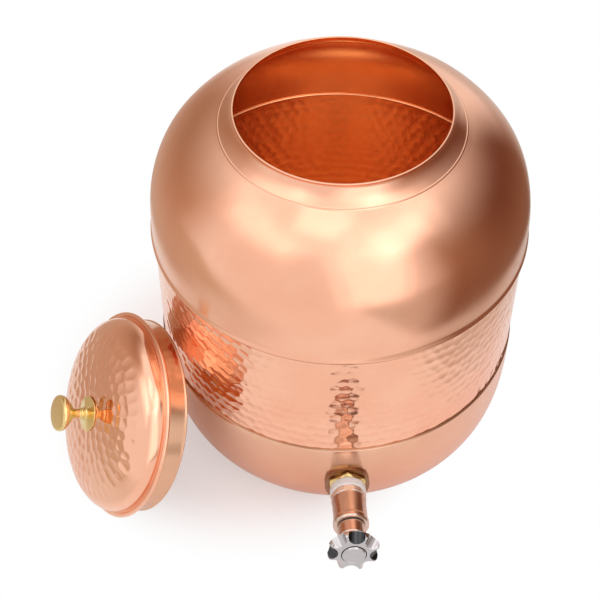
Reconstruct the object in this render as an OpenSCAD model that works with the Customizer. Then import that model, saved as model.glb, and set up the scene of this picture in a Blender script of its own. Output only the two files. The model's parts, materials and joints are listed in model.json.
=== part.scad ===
// Copper water dispenser: a three-part copper pot with a screw-down tap and a loose lid.
// Millimetres, +Z up. The origin is the middle of the base and the tap points along -Y.
// The lid stands on its skirt's edge and leans against the hammered band.

/* [Pot] */
// Outer radius of the hammered band
band_r = 138.6; // [125:0.5:155]
// Height of the hammered band between its two seams
band_h = 104.3; // [90:0.1:130]
// Thickness of the copper sheet
sheet = 1; // [0.8:0.1:1.4]
// Depth of the lap at each seam
seam_lap = 2.5; // [1.5:0.5:8]
// Straight wall beside each seam
seam_straight = 10; // [9:0.5:14]
// Gap between brazed pieces of sheet
braze_gap = 0.05; // [0.02:0.01:0.15]

/* [Bowl] */
// Height of the lower seam above the table
bowl_h = 104; // [95:0.1:118]
// Radius of the flat base
base_r = 70; // [55:1:85]
// Squareness of the bowl's curve
bowl_square = 2.8; // [2.4:0.1:3.6]

/* [Dome] */
// Height of the crease above the upper seam
crease_h = 95.4; // [85:0.1:110]
// Radius of the crease where the neck collar begins
crease_r = 86.8; // [83:0.1:98]
// Squareness of the dome's curve
dome_square = 2.6; // [2.2:0.02:3.2]
// Height of the neck collar above the crease
collar_h = 13.3; // [10:0.1:18]
// Inner radius of the mouth
mouth_r = 75.7; // [66:0.1:80]
// Height of the straight lip at the mouth
lip_h = 2.5; // [1.5:0.1:4]

/* [Tap seat] */
// Height of the tap's axis where it leaves its seat
tap_h = 64; // [58:0.5:70]
// Upward tilt of the tap's axis
tap_tilt = 10; // [0:0.5:14]
// Outer radius of the pressed seat cup in the bowl
seat_r = 17; // [16:0.1:19]
// How far the seat's upper edge stands out of the bowl
seat_proud = 0.6; // [0.3:0.1:2]
// Outer radius of the threaded nipple
nipple_r = 10.1; // [8.5:0.1:10.5]
// Bore radius of the threaded nipple
nipple_bore = 6.8; // [5:0.1:7.2]
// Length of the nipple inside the seat cup
nipple_in = 11; // [10:0.5:16]
// Radial gap in the threads
thread_gap = 0.05; // [0.02:0.01:0.1]
// Radius of the inner rubber washer
rubber_r = 14; // [13:0.1:14.5]
// Thickness of the inner rubber washer
rubber_t = 2; // [1:0.1:3]
// Distance across the flats of the inner lock nut
lock_af = 24; // [23:0.5:26]
// Thickness of the inner lock nut
lock_t = 5.5; // [4:0.1:6]
// Distance across the flats of the outer hexagon nut
nut_af = 27; // [24:0.5:29]
// Thickness of the outer hexagon nut
nut_t = 4; // [3:0.1:6]
// Radius of the white spacer washer
spacer_r = 13.7; // [12:0.1:14.5]
// Thickness of the white spacer washer
spacer_t = 7.5; // [4:0.1:9]

/* [Tap body] */
// Radius of the tap's wrench collar
collar_r = 13.3; // [12.3:0.1:14]
// Distance across the wrench collar's flats
collar_af = 25.6; // [24.2:0.1:26]
// Length of the wrench collar
collar_len = 5.5; // [4:0.1:8]
// Outer radius of the tap's tube
tube_r = 12.7; // [11.4:0.1:12.8]
// Length of the tap's tube
tube_len = 19.5; // [18:0.1:26]
// Outer radius of the flared lip
flare_r = 13.4; // [12.9:0.1:14.5]
// Length of the flared lip
flare_len = 5.5; // [4.5:0.1:7]
// Outer radius of the spout
spout_r = 9.6; // [8.5:0.1:10.5]
// Radius of the spout's outlet bore
outlet_r = 6; // [5:0.1:7]
// Length of the spout's outlet bore
outlet_len = 15; // [10:0.5:20]
// Distance from the tap's axis to the spout's end
spout_len = 30; // [27:0.5:36]
// Radius of the passage from the valve chamber to the spout
passage_r = 4.2; // [3.5:0.1:4.4]
// Distance from the valve seat to the edge of that passage
passage_gap = 0.3; // [0.1:0.1:0.5]

/* [Valve] */
// Length of the inlet between the nipple's end and the seat's wall
inlet_len = 2; // [1.5:0.1:3]
// Room left past the nipple's end in its socket
socket_gap = 0.5; // [0.2:0.1:1]
// Radius of the valve chamber
chamber_r = 7.2; // [6.8:0.1:7.6]
// Length of the valve chamber
chamber_len = 9; // [8.8:0.1:10]
// Thickness of the wall that holds the valve seat
seat_wall = 2; // [1.5:0.1:2.5]
// Radius of the hole in the valve seat
seat_hole_r = 4; // [3.4:0.1:4.6]
// Travel of the valve from shut to open
lift = 3.6; // [2.5:0.1:4]
// Radius of the valve's rubber disc
disc_r = 6; // [5.4:0.1:6.4]
// Thickness of the valve's rubber disc
disc_t = 2.2; // [1.6:0.1:2.4]
// Rim of the valve carrier's head beyond the disc
carrier_rim = 0.2; // [0.1:0.05:0.3]
// Thickness of the valve carrier's head
carrier_head_t = 2; // [1.6:0.1:2.4]
// Thickness of the carrier's wall between its screw and its bore
carrier_floor = 0.6; // [0.4:0.1:1]
// Radius of the valve carrier's barrel
barrel_r = 4.6; // [4.3:0.1:5]
// Width of the key that keeps the carrier from turning
key_w = 1.6; // [1.2:0.1:2]
// Height of that key above the barrel
key_h = 1; // [0.6:0.1:1.2]
// Length of the spindle's tail in the carrier with the valve shut
tail_grip = 5; // [4:0.1:6]
// Clearance between moving pieces of the tap
run_gap = 0.06; // [0.04:0.01:0.1]
// Room at the ends of the carrier's travel
end_gap = 0.4; // [0.2:0.05:0.6]

/* [Bonnet and spindle] */
// Outer radius of the bonnet's neck
neck_r = 10.5; // [9.8:0.1:11]
// Visible length of the bonnet's neck
neck_len = 11; // [10:0.1:15]
// Gap round the bonnet's neck
neck_gap = 0.4; // [0.3:0.05:0.6]
// Radius of the bonnet's threaded spigot
spigot_r = 8.5; // [8:0.1:9]
// Depth of the bonnet's spigot in the tap body
spigot_len = 3; // [2.5:0.1:4]
// Thickness of the bonnet's seal
seal_t = 0.8; // [0.6:0.1:1.4]
// Least wall of the bonnet in front of the spindle's shoulder
gland_wall = 1.5; // [1:0.1:2]
// Radius of the gland at the bonnet's end
gland_r = 6.4; // [5.8:0.1:6.8]
// Length of the gland at the bonnet's end
gland_len = 3.6; // [3:0.1:5]
// Radius of the spindle's shaft
shaft_r = 3.2; // [2.9:0.1:3.4]
// Radius of the spindle's threaded tail
tail_r = 2.7; // [2.4:0.1:2.8]
// Thickness of the spindle's thrust shoulder
thrust_t = 1.5; // [1:0.1:2]
// Section radius of the spindle's rubber ring
ring_section_r = 0.45; // [0.4:0.05:0.5]
// Thickness of the spindle's clip
clip_t = 0.7; // [0.5:0.1:1]
// How far the clip stands out of the shaft
clip_rise = 1.2; // [0.8:0.1:1.5]
// Depth of the clip's groove
clip_groove = 0.6; // [0.4:0.1:0.8]
// Gap between the gland and the clip
clip_gap = 0.2; // [0.1:0.05:0.4]
// Length of the spindle's square drive
drive_len = 4; // [3:0.1:5]
// Distance from the clip to the square drive
drive_gap = 1; // [0.8:0.1:1.5]

/* [Knob] */
// Outer radius of the tap knob over its lobes
knob_r = 19.2; // [16.5:0.1:20]
// Number of lobes on the tap knob
knob_lobes = 8; // [6:1:10]
// Turn of the shut knob, seen from its front
knob_turn = -6.5; // [-22.5:0.5:22.5]
// Radius of each hollow between two lobes
flute_r = 7; // [5:0.1:8]
// Depth of each hollow between two lobes
flute_depth = 3.2; // [1.5:0.1:3.5]
// Radius of the knob's front, where the hollows begin
face_r = 11.8; // [10.8:0.1:13]
// Length of the tap knob along its axis
knob_len = 14; // [12.5:0.1:16]
// Depth of the rounding at the knob's front edge
knob_edge = 1.7; // [1.5:0.1:3]
// Gap between the knob and the bonnet
knob_gap = 0.5; // [0.3:0.05:0.8]
// Thickness of the knob's wall in front of the square drive
knob_floor = 1.2; // [1:0.1:2]
// Radius of the knob's centre cap
cap_r = 8.8; // [7.5:0.1:9]
// Thickness of the knob's centre cap
cap_t = 1.6; // [1:0.1:2]
// Thickness of the cap's side wall
cap_wall = 1.2; // [0.8:0.1:1.5]
// Room under the cap for the knob's screw
cap_room = 2.4; // [2.2:0.1:3]
// Radius of the small screws in the tap
fixing_r = 1.2; // [1:0.05:1.3]
// Depth of the knob's screw in the spindle
fixing_depth = 2; // [1.5:0.1:2.5]
// Clearance round those screws and at their tips
screw_gap = 0.2; // [0.1:0.05:0.3]

/* [Lid] */
// Radial gap between the lid's skirt and the mouth
lid_gap = 0.5; // [0.3:0.05:1]
// How far the lid's edge bead overhangs the mouth
lid_overhang = 4.3; // [3.5:0.1:6]
// Height of the lid's dome above the edge bead
lid_dome_h = 27; // [20:0.5:34]
// Squareness of the lid's dome
lid_square = 2.6; // [2:0.05:3.2]
// Radius of the bead's round section
bead_r = 1.8; // [1.5:0.1:2.6]
// Width of the groove between the dome and the bead
groove_w = 0.9; // [0.6:0.1:1.6]
// Depth of the lid's skirt
skirt_h = 16.5; // [10:0.1:22]
// Radius of the roll at the skirt's edge
roll_r = 0.9; // [0.7:0.1:1.2]
// Bearing of the lid round the pot, from +X
lid_bearing = 204; // [195:0.1:220]
// Turn of the lid's axis away from that bearing
lid_turn = -6; // [-8:0.1:8]
// Upward lean of the lid's axis
lid_lean = 27.2; // [20:0.1:35]
// Gap between the leaning lid and the pot
lean_gap = 0.9; // [0.7:0.05:1.5]

/* [Lid knob] */
// Radius of the brass knob's head
head_r = 14; // [11:0.1:16]
// Thickness of the brass knob's head
head_t = 10; // [6:0.1:12]
// Radius of the brass knob's stem
stem_r = 3.6; // [3.2:0.1:4.5]
// Length of the brass knob's stem
stem_len = 12; // [10:0.1:20]
// Height of the bead on the stem
stem_bead = 1.2; // [0.6:0.1:1.6]
// Radius of the rosette under the knob
rosette_r = 13.7; // [11:0.1:16]
// Height of the rosette
rosette_h = 4.2; // [3:0.1:9]
// Radius of the knob's fixing screw
lid_screw_r = 2; // [1.6:0.1:2.4]
// Clearance round that screw and over its washer
lid_screw_gap = 0.1; // [0.05:0.05:0.2]
// Radius of the washer inside the lid
inner_pad_r = 8; // [6:0.5:12]
// Thickness of the washer inside the lid
inner_pad_t = 1.2; // [0.8:0.1:2]

/* [Hidden] */
$fn = 96;
// Steps along a long curve, and along the neck collar
steps = 24;
collar_steps = 8;
// Overlap of joined shapes and overrun of cuts
over = 1;
// Gap between pieces that only rest on each other
touch_gap = 0.02;
copper = "#d48a60";
brass = "#d1ab52";
chrome = "#c9ccd0";
white_plastic = "#e6e2df";
black_rubber = "#2b2b2d";

// Pot: radii and levels
shell_r = band_r + braze_gap + sheet;
seam_low = bowl_h;
seam_high = bowl_h + band_h;
crease_z = seam_high + crease_h;
rim_z = crease_z + collar_h;
dome_z0 = seam_high + seam_straight;
bowl_z0 = seam_low - seam_straight;

// Tap: stations along its axis, from the face of the seat outward
seat_y = shell_r + seat_r * sin(tap_tilt) + seat_proud;
seat_reach = 2 * seat_r;
spacer_l = nut_t;
collar_l = spacer_l + spacer_t;
tube_l = collar_l + collar_len;
flare_l = tube_l + tube_len;
face_l = flare_l + flare_len;
spigot_l = face_l - spigot_len;
seat_l = spigot_l - chamber_len;
inlet_l = seat_l - seat_wall;
nipple_l = inlet_l - inlet_len;
spout_l = seat_l + passage_r + passage_gap;

// Valve and spindle: stations with the valve shut
disc_l = seat_l + run_gap;
carrier_l = disc_l + disc_t;
carrier_bore_l = carrier_l + 2 * carrier_head_t;
tail_l = carrier_bore_l + lift + end_gap;
barrel_l = tail_l + tail_grip;
thrust_l = barrel_l + lift + end_gap;
shoulder_l = thrust_l + thrust_t + run_gap;
neck_l = face_l + seal_t;
gland_l = max(neck_l + neck_len, shoulder_l + gland_wall);
gland_end_l = gland_l + gland_len;
key_r = barrel_r + key_h;
ring_l = gland_l;
ring_groove_r = shaft_r - 2 * ring_section_r;
ring_groove_half = 1.2 * ring_section_r;
clip_l = gland_end_l + clip_gap;
clip_r = shaft_r + clip_rise;
clip_groove_r = shaft_r - clip_groove;
drive_l = clip_l + clip_t + drive_gap;
drive_end_l = drive_l + drive_len;
drive_w = 1.3 * shaft_r;

// Knob: stations and radii
knob_l = gland_l + knob_gap;
knob_end_l = knob_l + knob_len;
knob_hollow_r = gland_r + knob_gap;
knob_hollow_end = clip_l + clip_t + end_gap;
cap_seat_l = drive_end_l + knob_floor;
cap_l = max(knob_end_l, cap_seat_l + cap_room);
knob_rim_l = knob_l + 0.6 * knob_len;
flute_slope = atan2(knob_r - flute_depth - face_r, knob_end_l - knob_rim_l);
flute_at_r = knob_r - flute_depth + flute_r / cos(flute_slope);

// Lid: radii and levels in its own frame, whose origin is under the bead
skirt_edge_r = mouth_r - lid_gap;
skirt_r = skirt_edge_r - 0.9 * roll_r;
lid_r = mouth_r + lid_overhang;
bead_mid_r = lid_r - bead_r;
dome_edge_r = lid_r - 2 * bead_r - groove_w;
dome_edge_z = 1.6 * bead_r;
lid_top_z = dome_edge_z + lid_dome_h;
roll_mid_r = skirt_edge_r - roll_r;
roll_mid_z = skirt_h - roll_r;
rosette_top_z = lid_top_z + rosette_h;

// Lid: where it stands, with its skirt's edge on the table and against the band
lean_arm = roll_mid_z * cos(lid_lean) + roll_mid_r * sin(lid_lean) + roll_r;
lean_reach = sqrt(pow(band_r + lean_gap, 2) - pow(lean_arm * sin(lid_turn), 2));
lid_rho = lean_arm * cos(lid_turn) + lean_reach;
lid_z = roll_mid_z * sin(lid_lean) + roll_mid_r * cos(lid_lean) + roll_r;

function reverse(list) = [for (i = [len(list) - 1:-1:0]) list[i]];

// A point on a squared-off curve from an upright start to a level end.
function squared(r0, z0, r1, z1, n, t) =
    [r1 + (r0 - r1) * pow(cos(t), 2 / n), z0 + (z1 - z0) * pow(sin(t), 2 / n)];

// The dome's curve from its straight wall up to the crease.
function dome_curve(r, end_r, end_z) =
    let (turn = acos(pow(end_r / r, dome_square / 2)))
    let (rise = (end_z - dome_z0) / pow(sin(turn), 2 / dome_square))
    [for (i = [0:steps]) squared(r, dome_z0, 0, dome_z0 + rise, dome_square, turn * i / steps)];

// The neck collar's hollow flare from the crease up to the lip.
function collar_curve(r0, z0, r1, z1) =
    [for (i = [1:collar_steps])
        let (s = i / collar_steps) [r1 + (r0 - r1) * pow(1 - s, 1.5), z0 + (z1 - z0) * s]];

// The bowl's curve from its straight wall down to the base.
function bowl_curve(r, floor_z) =
    [for (i = [0:steps]) squared(r, bowl_z0, base_r, floor_z, bowl_square, 90 * i / steps)];

// Height of the lid's dome at a radius, inside the sheet when a depth is given.
function lid_cap_z(r, depth = 0) =
    let (edge_r = dome_edge_r - depth)
    dome_edge_z + (lid_dome_h - depth) * pow(1 - pow(r / edge_r, lid_square), 1 / lid_square);

// The lid's dome from its middle out to the groove, inside the sheet when a depth is given.
function lid_curve(depth) =
    [for (i = [0:steps])
        let (r = (dome_edge_r - depth) * sin(90 * i / steps)) [r, lid_cap_z(r, depth)]];

module tap_place() {
    translate([0, -seat_y, tap_h])
        rotate([90 - tap_tilt, 0, 0])
            children();
}

module lid_place() {
    translate([lid_rho * cos(lid_bearing), lid_rho * sin(lid_bearing), lid_z])
        rotate([0, 90 - lid_lean, lid_bearing + lid_turn])
            children();
}

// A round length of the tap or the lid from one station to another.
module rod(r, from, to) {
    translate([0, 0, from])
        cylinder(r = r, h = to - from);
}

// A flat ring from one station to another.
module ring(r, bore, from, to) {
    difference() {
        rod(r, from, to);
        rod(bore, from - over, to + over);
    }
}

// A hexagon bar with one corner upward, or one flat where the turn is 0.
module hexagon(af, from, to, turn = 30) {
    translate([0, 0, from])
        rotate([0, 0, turn])
            cylinder(r = af / sqrt(3), h = to - from, $fn = 6);
}

// A square bar from one station to another.
module square_bar(w, from, to) {
    translate([-w / 2, -w / 2, from])
        cube([w, w, to - from]);
}

// A screw's round head, seated at the origin, with a slot across its end.
module slotted_head(screw_r, head_l) {
    slot_w = 0.5 * screw_r;
    difference() {
        cylinder(r = 2.2 * screw_r, h = head_l);
        translate([-3 * screw_r, -slot_w / 2, 0.6 * head_l])
            cube([6 * screw_r, slot_w, head_l]);
    }
}

// The space inside the bowl, up to its axis.
module bowl_inside() {
    rotate_extrude()
        polygon(concat(
            [[0, seam_low], [shell_r - sheet, seam_low]],
            bowl_curve(shell_r - sheet, sheet),
            [[0, sheet]]
        ));
}

module shoulder_dome() {
    inner_crease_r = crease_r - sheet / 2;
    inner_crease_z = crease_z - sheet;
    color(copper)
        rotate_extrude()
            polygon(concat(
                [[shell_r, seam_high]],
                dome_curve(shell_r, crease_r, crease_z),
                collar_curve(crease_r, crease_z, mouth_r + sheet, rim_z - lip_h),
                [[mouth_r + sheet, rim_z], [mouth_r, rim_z]],
                reverse(collar_curve(inner_crease_r, inner_crease_z, mouth_r, rim_z - lip_h)),
                reverse(dome_curve(shell_r - sheet, inner_crease_r, inner_crease_z)),
                [[shell_r - sheet, seam_high]]
            ));
}

module hammered_band() {
    color(copper)
        ring(band_r, band_r - sheet, seam_low - seam_lap, seam_high + seam_lap);
}

module base_bowl() {
    color(copper)
        difference() {
            rotate_extrude()
                polygon(concat(
                    [[shell_r, seam_low]],
                    bowl_curve(shell_r, 0),
                    [[0, 0], [0, sheet]],
                    reverse(bowl_curve(shell_r - sheet, sheet)),
                    [[shell_r - sheet, seam_low]]
                ));
            tap_place()
                rod(seat_r + braze_gap, -seat_reach, seat_reach);
        }
}

// The pressed cup that turns a flat face to the tap, trimmed flush inside the bowl.
module tap_seat() {
    color(copper)
        difference() {
            tap_place()
                difference() {
                    rod(seat_r, -seat_reach, 0);
                    rod(seat_r - sheet, -seat_reach - over, -sheet);
                    rod(nipple_r + thread_gap, -seat_reach, over);
                }
            bowl_inside();
        }
}

module threaded_nipple() {
    color(brass)
        tap_place()
            ring(nipple_r, nipple_bore, -nipple_in, nipple_l);
}

module inner_washer() {
    color(black_rubber)
        tap_place()
            ring(rubber_r, nipple_r + thread_gap, -sheet - rubber_t, -sheet);
}

module inner_lock_nut() {
    front_l = -sheet - rubber_t;
    back_l = front_l - lock_t;
    color(brass)
        tap_place()
            difference() {
                hexagon(lock_af, back_l, front_l);
                rod(nipple_r + thread_gap, back_l - over, front_l + over);
            }
}

module outer_nut() {
    color(brass)
        tap_place()
            difference() {
                hexagon(nut_af, 0, nut_t);
                rod(nipple_r + thread_gap, -over, nut_t + over);
            }
}

module spacer_washer() {
    color(white_plastic)
        tap_place()
            ring(spacer_r, nipple_r + thread_gap, spacer_l, collar_l);
}

module spout() {
    translate([0, 0, spout_l])
        rotate([90, 0, 0])
            children();
}

module tap_body() {
    flare_step = 0.25 * flare_len;
    outlet_at = spout_len - outlet_len;
    color(copper)
        tap_place()
            difference() {
                union() {
                    intersection() {
                        rod(collar_r, collar_l, tube_l);
                        hexagon(collar_af, collar_l, tube_l, turn = 0);
                    }
                    rod(tube_r, tube_l - over, face_l - over);
                    rotate_extrude()
                        polygon([
                            [0, flare_l],
                            [tube_r, flare_l],
                            [flare_r, flare_l + flare_step],
                            [flare_r, face_l - flare_step],
                            [tube_r, face_l],
                            [0, face_l]
                        ]);
                    spout()
                        cylinder(r = spout_r, h = spout_len);
                }
                rod(nipple_r + thread_gap, collar_l - over, nipple_l + socket_gap);
                rod(nipple_bore, nipple_l, inlet_l);
                rod(seat_hole_r, inlet_l - over, seat_l + over);
                rod(chamber_r, seat_l, spigot_l + over);
                rod(spigot_r + thread_gap, spigot_l, face_l + over);
                rod(neck_r + neck_gap, face_l, spout_l + spout_r + over);
                spout() {
                    cylinder(r = passage_r, h = outlet_at + over);
                    rod(outlet_r, outlet_at, spout_len + over);
                }
            }
}

module bonnet() {
    key_slot_w = key_w + 2 * run_gap;
    color(copper)
        tap_place()
            difference() {
                union() {
                    rod(spigot_r, spigot_l, neck_l + over);
                    rod(neck_r, neck_l, gland_l);
                    rod(gland_r, gland_l - over, gland_end_l);
                }
                rod(barrel_r + run_gap, spigot_l - over, shoulder_l);
                rod(shaft_r + run_gap, shoulder_l - over, gland_end_l + over);
                translate([-key_slot_w / 2, 0, spigot_l - over])
                    cube([key_slot_w, key_r + run_gap, thrust_l - spigot_l + over]);
            }
}

module bonnet_seal() {
    color(black_rubber)
        tap_place()
            ring(neck_r - neck_gap, spigot_r + thread_gap, face_l, neck_l);
}

module spindle() {
    thrust_mid_l = thrust_l + thrust_t / 2;
    color(brass)
        tap_place()
            difference() {
                union() {
                    rod(tail_r, tail_l, thrust_mid_l);
                    rod(barrel_r - run_gap, thrust_l, thrust_l + thrust_t);
                    rod(shaft_r, thrust_mid_l, drive_l);
                    square_bar(drive_w, drive_l - over, drive_end_l);
                }
                rod(fixing_r + thread_gap, drive_l - fixing_depth, drive_end_l + over);
                ring(shaft_r + over, ring_groove_r, ring_l - ring_groove_half, ring_l + ring_groove_half);
                ring(shaft_r + over, clip_groove_r, clip_l - run_gap, clip_l + clip_t + run_gap);
            }
}

module spindle_ring() {
    color(black_rubber)
        tap_place()
            translate([0, 0, ring_l])
                rotate_extrude()
                    translate([ring_groove_r + ring_section_r + touch_gap, 0])
                        circle(r = ring_section_r, $fn = 24);
}

module spindle_clip() {
    mouth_w = 1.5 * clip_groove_r;
    color(chrome)
        tap_place()
            difference() {
                ring(clip_r, clip_groove_r + touch_gap, clip_l, clip_l + clip_t);
                translate([0, -mouth_w / 2, clip_l - over])
                    cube([clip_r + over, mouth_w, clip_t + 2 * over]);
            }
}

module tap_knob() {
    back_r = neck_r + neck_gap;
    color(chrome)
        tap_place()
            difference() {
                rotate_extrude()
                    polygon([
                        [0, knob_l],
                        [back_r, knob_l],
                        [knob_r, knob_rim_l],
                        [knob_r, knob_end_l - knob_edge],
                        [knob_r - 0.7 * knob_edge, knob_end_l - 0.3 * knob_edge],
                        [cap_r + cap_wall, knob_end_l],
                        [0, knob_end_l]
                    ]);
                for (i = [0:knob_lobes - 1])
                    rotate([0, 0, knob_turn + i * 360 / knob_lobes])
                        translate([flute_at_r, 0, knob_rim_l])
                            rotate([0, -flute_slope, 0])
                                rod(flute_r, -2 * knob_len, 2 * knob_len);
                rod(knob_hollow_r, knob_l - over, knob_hollow_end);
                rod(shaft_r + run_gap, knob_hollow_end - over, drive_l);
                square_bar(drive_w + 2 * run_gap, drive_l - over, drive_end_l + screw_gap);
                rod(fixing_r + screw_gap, drive_l, cap_seat_l + over);
                rod(cap_r + thread_gap, cap_seat_l, knob_end_l + over);
            }
}

module knob_cap() {
    cap_edge = 0.5 * cap_t;
    color(chrome)
        tap_place()
            difference() {
                rotate_extrude()
                    polygon([
                        [0, cap_seat_l],
                        [cap_r, cap_seat_l],
                        [cap_r, cap_l + cap_t - cap_edge],
                        [cap_r - cap_edge, cap_l + cap_t],
                        [0, cap_l + cap_t]
                    ]);
                rod(cap_r - cap_wall, cap_seat_l - over, cap_l);
            }
}

module knob_screw() {
    head_l = 0.65 * cap_room;
    color(chrome)
        tap_place() {
            rod(fixing_r, drive_l - fixing_depth + screw_gap, cap_seat_l + head_l / 2);
            translate([0, 0, cap_seat_l])
                slotted_head(fixing_r, head_l);
        }
}

module valve_carrier() {
    color(brass)
        tap_place()
            difference() {
                union() {
                    rod(disc_r + carrier_rim, carrier_l, carrier_l + carrier_head_t);
                    rod(barrel_r, carrier_l + over, barrel_l);
                    translate([-key_w / 2, 0, spigot_l + lift])
                        cube([key_w, key_r, barrel_l - spigot_l - lift]);
                }
                rod(tail_r + run_gap, carrier_bore_l, barrel_l + over);
                rod(fixing_r + thread_gap, carrier_l - over, carrier_bore_l - carrier_floor);
            }
}

module valve_disc() {
    color(black_rubber)
        tap_place()
            ring(disc_r, fixing_r + thread_gap, disc_l, carrier_l);
}

module valve_screw() {
    head_l = fixing_r;
    color(brass)
        tap_place() {
            rod(2 * fixing_r, disc_l - head_l, disc_l);
            rod(fixing_r, disc_l - head_l / 2, carrier_bore_l - carrier_floor - screw_gap);
        }
}

module lid_dome() {
    color(copper)
        lid_place()
            difference() {
                union() {
                    rotate_extrude()
                        polygon(concat(
                            lid_curve(0),
                            [
                                [dome_edge_r + 0.6 * groove_w, dome_edge_z - 0.5 * groove_w],
                                [bead_mid_r, bead_r],
                                [bead_mid_r, 0],
                                [dome_edge_r - sheet, 0]
                            ],
                            reverse(lid_curve(sheet))
                        ));
                    rotate_extrude()
                        translate([bead_mid_r, bead_r])
                            circle(r = bead_r, $fn = 32);
                }
                rod(lid_screw_r + lid_screw_gap, 0, lid_top_z + over);
            }
}

module lid_skirt() {
    color(copper)
        lid_place()
            union() {
                ring(skirt_r, skirt_r - sheet, -roll_mid_z, 0);
                rotate_extrude()
                    translate([roll_mid_r, -roll_mid_z])
                        circle(r = roll_r, $fn = 24);
            }
}

module lid_knob() {
    stem_z = rosette_top_z;
    head_z = stem_z + stem_len;
    top_z = head_z + head_t;
    ring_z = stem_z + 0.17 * stem_len;
    ring_half = 0.09 * stem_len;
    color(brass)
        lid_place()
            difference() {
                rotate_extrude()
                    polygon([
                        [0, stem_z],
                        [1.3 * stem_r, stem_z],
                        [stem_r, ring_z - ring_half],
                        [stem_r + stem_bead, ring_z],
                        [stem_r, ring_z + ring_half],
                        [stem_r, head_z - 0.4 * stem_len],
                        [0.42 * head_r, head_z - 0.17 * stem_len],
                        [0.58 * head_r, head_z],
                        [0.83 * head_r, head_z + 0.3 * head_t],
                        [0.96 * head_r, head_z + 0.53 * head_t],
                        [head_r, head_z + 0.7 * head_t],
                        [0.97 * head_r, head_z + 0.86 * head_t],
                        [0.88 * head_r, head_z + 0.96 * head_t],
                        [0, top_z]
                    ]);
                rod(lid_screw_r + thread_gap, stem_z - over, stem_z + 0.6 * stem_len);
            }
}

module knob_rosette() {
    rise = [0, 0.3, 0.55, 0.8, 1];
    color(brass)
        lid_place()
            difference() {
                rotate_extrude()
                    polygon(concat(
                        [
                            [0, rosette_top_z],
                            [1.4 * stem_r, rosette_top_z],
                            [1.9 * stem_r, rosette_top_z - 0.45 * rosette_h],
                            [rosette_r, lid_cap_z(rosette_r) + 0.16 * rosette_h]
                        ],
                        [for (s = reverse(rise)) [rosette_r * s, lid_cap_z(rosette_r * s) + touch_gap]]
                    ));
                rod(lid_screw_r + lid_screw_gap, lid_top_z - over, rosette_top_z + over);
            }
}

// Underside of the washer inside the lid.
function pad_z() = lid_cap_z(inner_pad_r, sheet) - inner_pad_t;

module lid_screw() {
    head_l = 1.2 * lid_screw_r;
    color(brass)
        lid_place() {
            rod(lid_screw_r, pad_z() - 0.4 * head_l, rosette_top_z + 0.5 * stem_len);
            translate([0, 0, pad_z()])
                mirror([0, 0, 1])
                    slotted_head(lid_screw_r, head_l);
        }
}

module lid_pad() {
    color(brass)
        lid_place()
            ring(inner_pad_r, lid_screw_r + lid_screw_gap, pad_z(), pad_z() + inner_pad_t - lid_screw_gap);
}

shoulder_dome();
hammered_band();
base_bowl();
tap_seat();
threaded_nipple();
inner_washer();
inner_lock_nut();
outer_nut();
spacer_washer();
tap_body();
bonnet();
bonnet_seal();
spindle();
spindle_ring();
spindle_clip();
tap_knob();
knob_cap();
knob_screw();
valve_carrier();
valve_disc();
valve_screw();
lid_dome();
lid_skirt();
lid_knob();
knob_rosette();
lid_screw();
lid_pad();
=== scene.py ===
"""Looks of the copper water dispenser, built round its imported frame.

Metres, +Z up. The pot's axis is Z, the tap points along -Y and the lid leans on the left.
"""

import json
import math

import bmesh
import bpy
import numpy as np
from mathutils import Matrix, Vector
from mathutils.kdtree import KDTree


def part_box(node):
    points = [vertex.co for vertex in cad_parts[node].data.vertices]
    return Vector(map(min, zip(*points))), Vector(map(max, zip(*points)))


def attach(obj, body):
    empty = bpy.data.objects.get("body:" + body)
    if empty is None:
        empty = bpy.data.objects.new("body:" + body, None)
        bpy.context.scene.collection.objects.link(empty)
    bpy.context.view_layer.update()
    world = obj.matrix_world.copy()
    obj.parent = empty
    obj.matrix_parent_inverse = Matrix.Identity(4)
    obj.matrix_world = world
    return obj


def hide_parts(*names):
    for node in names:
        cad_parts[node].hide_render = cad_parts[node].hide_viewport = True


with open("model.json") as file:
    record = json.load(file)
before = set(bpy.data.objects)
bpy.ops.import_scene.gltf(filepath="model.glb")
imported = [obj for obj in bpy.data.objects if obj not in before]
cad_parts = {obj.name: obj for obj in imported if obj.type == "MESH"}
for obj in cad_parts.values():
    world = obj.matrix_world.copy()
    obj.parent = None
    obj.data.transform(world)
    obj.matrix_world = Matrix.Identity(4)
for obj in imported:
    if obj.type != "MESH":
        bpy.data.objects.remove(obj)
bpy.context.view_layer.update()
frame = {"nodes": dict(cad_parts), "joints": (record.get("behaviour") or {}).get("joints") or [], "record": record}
MM = 0.001
MARK_SEED = 7
rng = np.random.default_rng(MARK_SEED)


# Sizes read from the frame

def mount(name):
    return next(m for m in frame["record"]["mounts"] if m["name"] == name)


def joint(name):
    return next(j for j in frame["joints"] if j["name"] == name)


def points_of(node):
    mesh = frame["nodes"][node].data
    co = np.empty(len(mesh.vertices) * 3)
    mesh.vertices.foreach_get("co", co)
    return co.reshape(-1, 3)


def axis_matrix(origin, axis, right):
    """Local frame with Z along axis and X as near to right as it can be."""
    z = Vector(axis).normalized()
    x = (Vector(right) - z * z.dot(Vector(right))).normalized()
    y = z.cross(x)
    turn = Matrix((x, y, z)).transposed().to_4x4()
    return Matrix.Translation(Vector(origin)) @ turn


def local_points(node, place):
    inverse = np.array(place.inverted())
    return points_of(node) @ inverse[:3, :3].T + inverse[:3, 3]


def span(node, place):
    """Lowest and highest station of a node along a local axis, and its outer radius."""
    p = local_points(node, place)
    return p[:, 2].min(), p[:, 2].max(), np.hypot(p[:, 0], p[:, 1]).max()


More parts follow.
